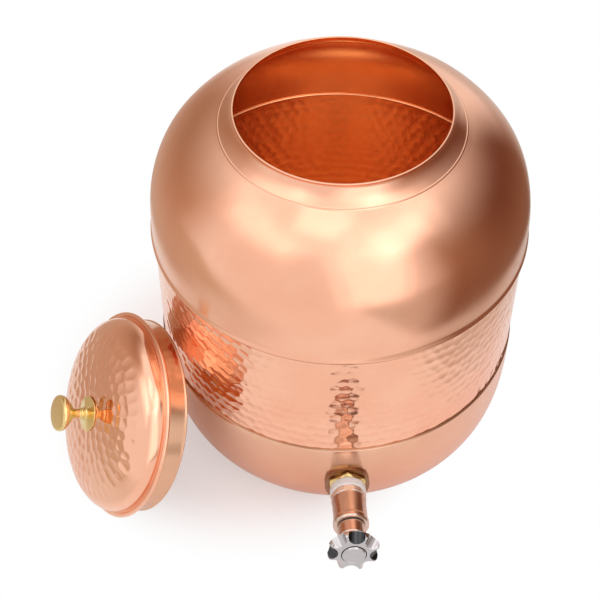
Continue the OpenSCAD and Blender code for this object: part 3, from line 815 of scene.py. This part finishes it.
def make_dark_seam_line(name, edge, height):
    """A thin dark ring along a seam, up or down from the sheet's edge."""
    bore = band_r - 0.3 * SHEET
    reach = shell_r - 0.2 * SHEET
    points = [
        (bore, edge), (reach, edge), (reach, edge + 0.6 * height), (bore + 0.6 * SHEET, edge + height),
        (bore, edge + height),
    ]
    turned(name, points, DARK_LINE_EDGE, POT, "pot", dark_seam_copper, turns=SHELL_TURNS)


# Tap

def make_nut():
    low, high, corner = span("outer_nut", TAP)
    face = NUT_FACE_SHARE * NUT_ACROSS / 2
    slope = NUT_SLOPE * (corner - face)
    points = [
        (NIPPLE_CLEAR, low), (face, low), (corner, low + slope),
        (corner, high - slope), (face, high), (NIPPLE_CLEAR, high),
    ]
    turned("hexagon_nut", points, NUT_EDGE, TAP, "pot", cut_brass, ["outer_nut"],
           turns=NUT_TURNS, shape=hexagon_cut(NUT_ACROSS))


def make_washer():
    low, high, r = span("spacer_washer", TAP)
    points = [
        (r - WASHER_BULGE, low), (r, low + WASHER_EDGE), (r, high - WASHER_EDGE), (r - WASHER_BULGE, high),
        (NIPPLE_CLEAR, high), (NIPPLE_CLEAR, low),
    ]
    turned("spacer_ring", points, WASHER_ROUND, TAP, "pot", white_plastic,
           ["spacer_washer"], turns=SMALL_TURNS)


def spout_place():
    """The spout's frame, with Z down from 0 at its mouth, and its rise to the tap's axis."""
    down = Vector(outlet["axis"])
    mouth = Vector(outlet["pos_m"]) + down * outlet_len / 2
    origin = Vector(joint("tap_turn")["pos_m"])
    axis = Vector(joint("tap_turn")["axis"])
    along = (mouth.y - origin.y) / axis.y
    return axis_matrix(mouth, down, (1, 0, 0)), origin.z + along * axis.z - mouth.z


def make_tap_tube(spout, rise):
    """The tap's collar, tube and flared lip, bored through to the spout."""
    start = span("spacer_washer", TAP)[1]
    face = span("bonnet_seal", TAP)[0]
    tube = start + COLLAR_LEN
    flare = face - FLARE_LEN
    outline = rounded([
        (NIPPLE_CLEAR, start), (COLLAR_R - COLLAR_EDGE, start), (COLLAR_R, start + COLLAR_EDGE),
        (COLLAR_R, tube - COLLAR_EDGE), (COLLAR_R - COLLAR_EDGE, tube), (TUBE_R, tube),
        (TUBE_R, tube + 0.4 * MM), (TUBE_R, flare - 0.6 * MM), (TUBE_R + 0.15 * MM, flare),
        (FLARE_R, flare + 1.3 * MM), (FLARE_R, face - 1.5 * MM), (FLARE_R - 0.8 * MM, face),
        (BONNET_BORE, face), (BONNET_BORE, face - BONNET_BORE_LEN), (NIPPLE_CLEAR, face - BONNET_BORE_TAPER),
    ], TUBE_EDGE)
    cut = hexagon_cut(COLLAR_ACROSS, turn=30)

    def shape(grid, angle):
        on_collar = (grid[..., 2] < tube + 0.1 * MM)[..., None]
        return np.where(on_collar, cut(grid, angle), grid)

    def is_collar(f):
        return f.center.z < tube - 0.3 * MM and f.center.xy.length > NIPPLE_CLEAR + 1 * MM

    mesh = turned_mesh("tap_tube_uncut", outline, TUBE_TURNS, shape=shape)
    mesh = cut_round_hole(mesh, TAP.inverted() @ spout, outlet_r, -rise, -WATER_WAY_END)
    mesh.name = "tap_tube"
    # The collar's faces take the pale plate, a painted highlight
    add_piece("tap_tube", mesh, TAP, "pot", [plated_copper, collar_painted_highlight], ["tap_body"])
    paint_second(mesh, [is_collar(f) for f in mesh.polygons])


def make_spout(spout, rise):
    root = SPOUT_ROOT - rise
    lip_r = SPOUT_R + SPOUT_LIP
    wall = [
        (SPOUT_R, root), (SPOUT_R, -SPOUT_LIP_SLOPE[0]), (lip_r, -SPOUT_LIP_SLOPE[1]), (lip_r, 0),
        (outlet_r, 0), (outlet_r, root),
    ]
    turned("tap_spout", wall, SPOUT_EDGE, spout, "pot", plated_copper, turns=SMALL_TURNS)


def make_bonnet():
    neck = span("bonnet_seal", TAP)[1]
    end = span("bonnet", TAP)[1]
    neck_r = span("bonnet", TAP)[2]
    shoulder = span("tap_knob", TAP)[0] - KNOB_GAP
    points = [
        (SPINDLE_CLEAR, neck), (neck_r - 0.3 * MM, neck), (neck_r, neck + 0.4 * MM),
        (neck_r, shoulder - 0.7 * MM), (neck_r - 0.5 * MM, shoulder), (BONNET_END_R, shoulder),
        (BONNET_END_R, end), (SPINDLE_CLEAR, end),
    ]
    turned("bonnet_neck", points, BONNET_EDGE, TAP, "pot", plated_copper, ["bonnet"],
           turns=FINE_TURNS)


class KnobShape:
    """The tap's lobed knob, as heights along the tap's axis at a radius and an angle."""

    def __init__(self):
        self.low, self.high, self.rim_r = span("tap_knob", TAP)
        self.cap_r = span("knob_cap", TAP)[2]
        self.front_r = self.cap_r + CAP_LAND
        self.back_r = span("bonnet", TAP)[2] + BACK_CLEAR
        self.rim = self.low + KNOB_RIM_SHARE * (self.high - self.low)
        self.slope = math.atan2(self.rim_r - FLUTE_DEPTH - KNOB_FACE_R, self.high - self.rim)
        self.flute_at = self.rim_r - FLUTE_DEPTH + FLUTE_R / math.cos(self.slope)

    def back(self, r):
        return self.low + (r - self.back_r) * (self.rim - self.low) / (self.rim_r - self.back_r)

    def face(self, r):
        share = np.clip((r - self.front_r) / (self.rim_r - self.front_r), 0, 1)
        return self.rim + (self.high - self.rim) * (1 - share ** KNOB_SQUARE) ** (1 / KNOB_SQUARE)

    def hollow(self, r, angle):
        """The hollows, which slope from the rim in to the flat front."""
        pitch = 2 * np.pi / LOBES
        off = (angle - KNOB_TURN + pitch / 2) % pitch - pitch / 2
        across = np.minimum(np.abs(r * np.sin(off)), FLUTE_R)
        rise = np.sqrt(FLUTE_R ** 2 - across ** 2) / math.cos(self.slope)
        return self.rim + (self.flute_at - rise - r * np.cos(off)) / math.tan(self.slope)

    def top(self, r, angle):
        a, b = self.face(r), self.hollow(r, angle)
        return -RIDGE_SOFT * np.logaddexp(-a / RIDGE_SOFT, -b / RIDGE_SOFT)

    def outer_r(self, angle):
        """How far out the knob reaches before its top meets its back."""
        r = np.linspace(self.back_r, self.rim_r, KNOB_SAMPLES)[None]
        open_to = (self.top(r, angle[:, None]) > self.back(r)).cumprod(1).sum(1)
        return r[0][np.clip(open_to - 1, 0, KNOB_SAMPLES - 1)]

    def grid(self, _, angle):
        """The knob's points: its back, its front and the cup for its cap."""
        share = np.sin(np.linspace(0, np.pi / 2, KNOB_STEPS))
        edge = self.outer_r(angle)[:, None]
        turn = angle[:, None]
        behind = self.back_r + share[None] * (edge - self.back_r)
        ahead = self.front_r + share[None, ::-1] * (edge - self.front_r)
        front = np.maximum(self.top(ahead, turn), self.back(ahead))
        ones = np.ones((len(angle), 1))
        cup_r = (self.cap_r + CAP_GAP) * ones
        cup_z = (self.high - CUP_DEPTH) * ones
        bore = KNOB_BORE * ones
        r = np.hstack([bore, behind, ahead, cup_r, cup_r, bore])
        z = np.hstack([self.low * ones, self.back(behind), front, self.high * ones, cup_z, cup_z])
        return np.stack([r * np.cos(turn), r * np.sin(turn), z], 2)

    def is_painted_dark(self, mesh):
        """Every second hollow, as painted dark reflection, and the groove round the cap, as painted shade."""
        x, y, z = np.array([f.center[:] for f in mesh.polygons]).T
        r, angle = np.hypot(x, y), np.arctan2(y, x)
        in_hollow = self.hollow(r, angle) < self.face(r) + PAINTED_DARK_PAST
        sunk = in_hollow & (z > self.back(r) + PAINTED_DARK_NEAR) & (r > self.front_r)
        number = np.round((angle - KNOB_TURN) / (2 * np.pi / LOBES)).astype(int) % LOBES
        groove = (r < self.cap_r + CAP_GAP + PAINTED_DARK_RIM) & (z > self.high - CUP_DEPTH - PAINTED_DARK_NEAR)
        return groove | (sunk & (number % 2 == 0))


def make_knob():
    knob = KnobShape()
    rows = 2 * KNOB_STEPS + 4
    outline = np.stack([np.zeros(rows), np.linspace(0, 1, rows)], 1)
    mesh = turned_mesh("lobed_knob", outline, KNOB_TURNS, shape=knob.grid)
    # Every second hollow takes a painted dark reflection, and the cap's groove takes painted shade
    paint_second(mesh, knob.is_painted_dark(mesh))
    add_piece("lobed_knob", mesh, TAP, "knob", [chrome_plate, painted_reflection_chrome], ["tap_knob"])


def make_knob_cap():
    low, high, r = span("knob_cap", TAP)
    points = [
        (0, low), (r, low), (r, high - 1.1 * MM), (r - 0.8 * MM, high), (r - 1.4 * MM, high),
        (r - 1.7 * MM, high - CAP_SUNK), (0, high - CAP_SUNK),
    ]
    turned("centre_disc", points, CAP_EDGE, TAP, "knob", satin_chrome, ["knob_cap"],
           turns=FINE_TURNS, closed=False)


# Lid

def lid_outline():
    r = np.linspace(SCREW_HOLE, dome_edge_r, LID_STEPS)
    inner_r = np.minimum(r, dome_edge_r - SHEET)
    outer = np.stack([r, lid_cap(r)], 1)
    inner = np.stack([inner_r, lid_cap(inner_r, SHEET)], 1)
    bead = arc(lid_r - BEAD_R, BEAD_R, BEAD_R, np.arange(110, -91, -10))
    groove = [(dome_edge_r + 0.35 * GROOVE_W, dome_edge_z - 0.1 * GROOVE_W)]
    points = np.vstack([outer, groove, bead, [(dome_edge_r - SHEET, 0)], inner[::-1]])
    return rounded(points, LID_EDGE, reach=LID_ROW)


def make_lid_dome():
    outline = lid_outline()
    marks = lid_marks()

    def strike(grid, _):
        radius = np.hypot(grid[..., 0], grid[..., 1])
        on_dome = np.minimum(radius, dome_edge_r - SLOPE_CLEAR)
        skin = grid.copy()
        skin[..., 2] = lid_cap(on_dome)
        step = SLOPE_STEP
        slope = (lid_cap(on_dome + step) - lid_cap(on_dome - step)) / (2 * step)
        size = np.hypot(1, slope)
        edge = np.clip((dome_edge_r - LID_CLEAR - radius) / LID_FADE, 0, 1)
        depth = np.zeros(radius.shape)
        struck = (edge > 0).any(0)
        depth[:, struck] = marks.depth(skin[:, struck]) * edge[:, struck]
        out = grid.copy()
        out[..., :2] += (depth * slope / size / np.maximum(radius, SAME_POINT))[..., None] * grid[..., :2]
        out[..., 2] -= depth / size
        return out

    inside = np.arange(len(outline)) >= nearest(outline, dome_edge_r - SHEET, 0)
    mesh = turned_mesh("lid_dome_shell", outline, LID_TURNS, shape=strike, inside=inside)
    add_piece("lid_dome_shell", mesh, LID, "lid",
              [hammered_copper, under_copper], ["lid_dome"])


def make_lid_skirt():
    low, high, r = span("lid_skirt", LID)
    wall = r - 0.9 * SKIRT_ROLL
    roll_z = low + SKIRT_ROLL
    wall_z = roll_z + 1.2 * SKIRT_ROLL
    roll = arc(r - SKIRT_ROLL, roll_z, SKIRT_ROLL, np.arange(60, -211, -15))
    points = np.vstack([[(wall, high), (wall, wall_z)], roll, [(wall - SHEET, wall_z), (wall - SHEET, high)]])
    outline = rounded(points, SKIRT_EDGE)
    inside = np.arange(len(outline)) >= outline[:, 1].argmin()
    mesh = turned_mesh("lid_skirt_ring", outline, SKIRT_TURNS, inside=inside)
    # The skirt's outer wall takes painted shade
    add_piece("lid_skirt_ring", mesh, LID, "lid",
              [skirt_painted_shade, under_copper], ["lid_skirt"])


def make_lid_knob():
    low, high, head_r = span("lid_knob", LID)
    ring_r = STEM_R + STEM_RING
    stem = [
        (SCREW_HOLE, 0), (1.3 * STEM_R, 0), (STEM_R, 0.036),
        (ring_r - STEM_RING_SOFT, 0.07), (ring_r, 0.093),
        (ring_r - STEM_RING_SOFT, 0.115), (STEM_R, 0.15), (STEM_R, 0.32), (1.15 * STEM_R, 0.38),
    ]
    head = [(share * head_r, height) for share, height in HEAD]
    bore = [(0, 0.3), (SCREW_HOLE, 0.3)]
    points = [(r, low + height * (high - low)) for r, height in stem + head + bore]
    turned("turned_knob", points, LID_KNOB_EDGE, LID, "lid", turned_brass, ["lid_knob"],
           turns=FINE_TURNS)


def make_rosette():
    low, high, r = span("knob_rosette", LID)
    tall = high - low
    rim = lid_cap(r)
    under = np.linspace(1, SCREW_HOLE / r, ROSETTE_STEPS) * r
    points = [
        (SCREW_HOLE, high), (1.4 * STEM_R, high), (1.55 * STEM_R, high - 0.25 * tall),
        (2.1 * STEM_R, high - 0.5 * tall), (0.8 * r, high - 0.7 * tall),
        (r, rim + 0.9 * MM), (r, rim + 0.3 * MM),
    ] + [(x, float(lid_cap(x)) + ROSETTE_GAP) for x in under]
    turned("turned_rosette", points, ROSETTE_EDGE, LID, "lid", turned_brass,
           ["knob_rosette"], turns=FINE_TURNS)


# Pieces that keep their frame shape and take a finish
KEPT = {
    # The tap's seat takes painted shade
    "tap_seat": seat_painted_shade,
    "threaded_nipple": cut_brass,
    "inner_washer": black_rubber,
    "inner_lock_nut": cut_brass,
    "bonnet_seal": black_rubber,
    "spindle": cut_brass,
    "spindle_ring": black_rubber,
    "spindle_clip": plain_steel,
    "knob_screw": plain_steel,
    "valve_carrier": cut_brass,
    "valve_disc": black_rubber,
    "valve_screw": cut_brass,
    "lid_screw": cut_brass,
    "lid_pad": cut_brass,
}


def finish_kept():
    for node, material in KEPT.items():
        mesh = frame["nodes"][node].data
        mesh.materials.clear()
        mesh.materials.append(material)


# Studio

WHITE = rgb(1, 1, 1)
FLOOR_HALF = 3.0
# Middle of the shadow on the floor
SHADOW_AT = (-0.075, 0.01, 0.0)
# Distances over which the floor goes from paper to plain white, and the white's share at each end
SEEN_FADE = (0.115, 0.185, 0.44, 1.0)
MIRRORED_FADE = (0.17, 0.30, 0.10, 0.90)
PAPER = rgb(0.93, 0.93, 0.93), rgb(0.90, 0.90, 0.90)
# Pinkish, darker paper near the pot: painted shade with the copper's bounce painted in, and the distances over
# which it fades out
PAPER_PAINTED_SHADE = rgb(0.93, 0.78, 0.76)
PAINTED_SHADE_FADE = (0.14, 0.26)
FIBRE_SCALE = 40.0
# What the copper mirrors of the floor's two sides: painted shade, seen only in reflections
LEFT_NEAR = rgb(0.84, 0.83, 0.81)
LEFT_FAR = rgb(0.60, 0.50, 0.37)
RIGHT_SIDE = rgb(0.63, 0.60, 0.56)
LEFT_DEPTH_X = (-0.26, -0.55)
LEFT_EDGE_X = (-0.18, -0.24)
LEFT_EDGE_Y = (-0.50, -0.22)
RIGHT_EDGE_X = (0.16, 0.24)

STUDIO_MIDDLE = Vector((0, 0, 0.16))
# Name, azimuth, elevation, distance, width, height and brightness of each soft box
SOFTBOXES = [
    ("overhead_box", 0, 85, 1.8, 2.4, 2.4, 0.24),
    ("front_box", 15, 22, 1.9, 1.5, 2.6, 0.26),
    ("front_core", 16, 26, 1.8, 0.9, 1.9, 0.32),
    ("right_box", 50, 58, 1.9, 1.6, 1.1, 0.28),
    ("right_core", 48, 57, 1.8, 0.9, 0.6, 0.42),
    ("left_box", -68, 50, 1.9, 1.9, 0.9, 0.24),
    ("left_core", -66, 50, 1.8, 1.2, 0.45, 0.36),
    ("lid_core", -30, 76, 1.7, 0.6, 0.6, 0.60),
]

CARD_R = 0.34
CARD_STEPS = 48
CARD_TOP_FADE = (1.0, 0.45)
CARD_ACROSS = (0.0, 0.6)
CARD_FOOT = (0.15, 0.50)
# Name, azimuths, height, colours near, far and at the foot, and softness of each card's sides
CARDS = [
    ("right_card", (28, 140), 0.72,
     rgb(0.44, 0.27, 0.18), rgb(0.16, 0.07, 0.042), rgb(0.26, 0.15, 0.10), 0.22),
    ("left_card", (-62, -175), 0.70,
     rgb(0.60, 0.42, 0.31), rgb(0.40, 0.27, 0.19), rgb(0.60, 0.49, 0.40), 0.30),
]

CAMERA_AT = (-0.06118, -0.69943, 0.92531)
CAMERA_TILT = math.radians(40.83)
CAMERA_TURN = math.radians(-2.6)
CAMERA_LENS = 80.25
CAMERA_SENSOR = 36.0


def floor_sides(n, place):
    """The floor's colour as the copper mirrors it: white, with a painted shade of tan on the left and grey on the
    right.
    """
    axes = n.add("SeparateXYZ", {0: place}).outputs
    left = n.mix(n.ramp(axes["X"], *LEFT_DEPTH_X), LEFT_NEAR, LEFT_FAR)
    on_left = n.math("MULTIPLY", n.ramp(axes["X"], *LEFT_EDGE_X), n.ramp(axes["Y"], *LEFT_EDGE_Y))
    return n.mix(n.ramp(axes["X"], *RIGHT_EDGE_X), n.mix(on_left, WHITE, left), RIGHT_SIDE)


def floor_material():
    """White paper: it keeps the object's shadow near by and ends in the white backdrop."""
    n = Nodes("paper_floor")
    place = n.add("TexCoord").outputs["Object"]
    away = n.add("VectorMath", {0: place}, operation="LENGTH").outputs["Value"]
    shadow = n.add("VectorMath", {0: place, 1: SHADOW_AT}, operation="DISTANCE").outputs["Value"]
    path = n.add("LightPath")
    seen = n.math("MULTIPLY", path.outputs["Is Camera Ray"], n.ramp(shadow, *SEEN_FADE))
    bounced = n.math("ADD", path.outputs["Is Glossy Ray"], path.outputs["Is Transmission Ray"], clamp=True)
    mirrored = n.math("MULTIPLY", bounced, n.ramp(away, *MIRRORED_FADE))
    fibre = n.ramp(n.noise(place, FIBRE_SCALE, detail=4.0), *EVEN)
    sheet = n.mix(fibre, PAPER[1], PAPER[0])
    # The paper near the pot takes the painted pink shade
    paper = n.add("BsdfDiffuse", {"Color": n.mix(n.ramp(away, *PAINTED_SHADE_FADE), PAPER_PAINTED_SHADE, sheet)}).outputs[0]
    colour = n.mix(bounced, WHITE, floor_sides(n, place))
    white = n.add("Emission", {"Color": colour, "Strength": 1.0}).outputs[0]
    glow = n.math("ADD", seen, mirrored, clamp=True)
    return n.output(n.add("MixShader", {0: glow, 1: paper, 2: white}).outputs[0])


def make_floor():
    mesh = bpy.data.meshes.new("paper_floor")
    h = FLOOR_HALF
    mesh.from_pydata([(-h, -h, 0), (h, -h, 0), (h, h, 0), (-h, h, 0)], [], [(0, 1, 2, 3)])
    mesh.materials.append(floor_material())
    floor = bpy.data.objects.new("paper_floor", mesh)
    bpy.context.scene.collection.objects.link(floor)


def make_world():
    """A plain white surround."""
    world = bpy.data.worlds.new("studio")
    bpy.context.scene.world = world
    world.use_nodes = True
    tree = world.node_tree
    tree.nodes.clear()
    sky = tree.nodes.new("ShaderNodeBackground")
    sky.inputs["Color"].default_value = WHITE
    sky.inputs["Strength"].default_value = 1.0
    out = tree.nodes.new("ShaderNodeOutputWorld")
    tree.links.new(sky.outputs[0], out.inputs["Surface"])


def bearing(azimuth, elevation, distance):
    """A place round the pot. Azimuth 0 is the tap's side and 90 is +X."""
    a, e = math.radians(azimuth), math.radians(elevation)
    way = Vector((math.sin(a) * math.cos(e), -math.cos(a) * math.cos(e), math.sin(e)))
    return STUDIO_MIDDLE + distance * way


def make_softbox(name, azimuth, elevation, distance, width, height, brightness):
    """A soft lamp whose face shines at the given brightness, where 1 is white."""
    data = bpy.data.lights.new(name, "AREA")
    data.shape = "RECTANGLE"
    data.size = width
    data.size_y = height
    data.energy = brightness * math.pi * width * height
    lamp = bpy.data.objects.new(name, data)
    bpy.context.scene.collection.objects.link(lamp)
    lamp.location = bearing(azimuth, elevation, distance)
    lamp.rotation_euler = (lamp.location - STUDIO_MIDDLE).to_track_quat("Z", "Y").to_euler()


def card_material(name, near, far, foot, soft):
    """Goes from near to far across the card, has its own colour at the foot, and soft sides and top."""
    n = Nodes(name)
    uv = n.add("SeparateXYZ", {0: n.add("TexCoord").outputs["UV"]}).outputs
    sides = n.math("MULTIPLY", n.ramp(uv["X"], 0.0, soft), n.ramp(uv["X"], 1.0, 1.0 - soft))
    mask = n.math("MULTIPLY", sides, n.ramp(uv["Y"], *CARD_TOP_FADE))
    across = n.mix(n.ramp(uv["X"], *CARD_ACROSS), near, far)
    colour = n.mix(n.ramp(uv["Y"], *CARD_FOOT), foot, across)
    paint = n.add("Emission", {"Color": colour, "Strength": 1.0}).outputs[0]
    clear = n.add("BsdfTransparent").outputs[0]
    return n.output(n.add("MixShader", {0: mask, 1: clear, 2: paint}).outputs[0])


def make_card(name, azimuths, top, near, far, foot, soft):
    """A curved card that stands round the pot and is seen only in reflections."""
    steps = CARD_STEPS
    verts = []
    for a in np.radians(np.linspace(azimuths[0], azimuths[1], steps + 1)):
        x, y = CARD_R * math.sin(a), -CARD_R * math.cos(a)
        verts += [(x, y, 0.0), (x, y, top)]
    faces = [(2 * i, 2 * i + 2, 2 * i + 3, 2 * i + 1) for i in range(steps)]
    uvs = []
    for i in range(steps):
        uvs += [(i / steps, 0), ((i + 1) / steps, 0), ((i + 1) / steps, 1), (i / steps, 1)]
    mesh = bpy.data.meshes.new(name)
    mesh.from_pydata(verts, [], faces)
    mesh.uv_layers.new(name="across_up").data.foreach_set("uv", np.array(uvs, np.float32).ravel())
    mesh.materials.append(card_material(name, near, far, foot, soft))
    card = bpy.data.objects.new(name, mesh)
    bpy.context.scene.collection.objects.link(card)
    card.visible_camera = False
    card.visible_diffuse = False
    card.visible_shadow = False


def make_camera():
    data = bpy.data.cameras.new("photo_view")
    data.sensor_width = CAMERA_SENSOR
    data.lens = CAMERA_LENS
    camera = bpy.data.objects.new("photo_view", data)
    bpy.context.scene.collection.objects.link(camera)
    camera.location = CAMERA_AT
    camera.rotation_euler = (CAMERA_TILT, 0, CAMERA_TURN)
    bpy.context.scene.camera = camera


make_camera()
make_dome()
make_band()
make_bowl()
make_dark_seam_line("upper_seam_line", seam_high, -UPPER_DARK_LINE)
make_dark_seam_line("lower_seam_line", seam_low, LOWER_DARK_LINE)
make_nut()
make_washer()
spout_frame, spout_rise = spout_place()
make_tap_tube(spout_frame, spout_rise)
make_spout(spout_frame, spout_rise)
make_bonnet()
make_knob()
make_knob_cap()
make_lid_dome()
make_lid_skirt()
make_lid_knob()
make_rosette()
finish_kept()
make_floor()
make_world()
for box in SOFTBOXES:
    make_softbox(*box)
for card in CARDS:
    make_card(*card)
bpy.context.scene.cycles.glossy_bounces = 12
bpy.context.scene.view_settings.view_transform = "Standard"
